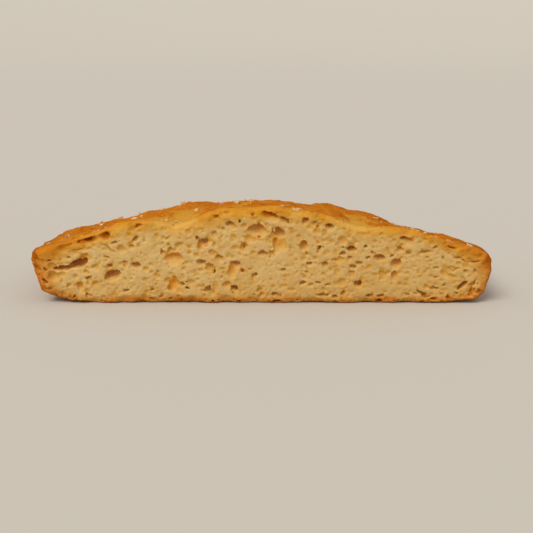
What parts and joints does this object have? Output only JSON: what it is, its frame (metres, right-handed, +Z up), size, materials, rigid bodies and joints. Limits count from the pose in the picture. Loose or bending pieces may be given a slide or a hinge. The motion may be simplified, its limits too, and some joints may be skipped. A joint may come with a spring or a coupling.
{
  "type": "half focaccia loaf",
  "caption": "Half of a small square tin-baked flat bread, cut straight through, with a domed dimpled crust, leaning tin-side walls and a flat base to rest on.",
  "frame": {"origin": "middle of the bounding box's base, on the surface the loaf rests on", "axes": "+X along the cut from left to right as seen from the front, +Y from the cut face back to the tin side, +Z up"},
  "size_m": [0.116, 0.056, 0.0249],
  "materials": {
    "baked_bread": "golden oily crust over creamy open crumb"
  },
  "bodies": {
    "root": {"focaccia_half": "baked_bread"}
  },
  "joints": []
}
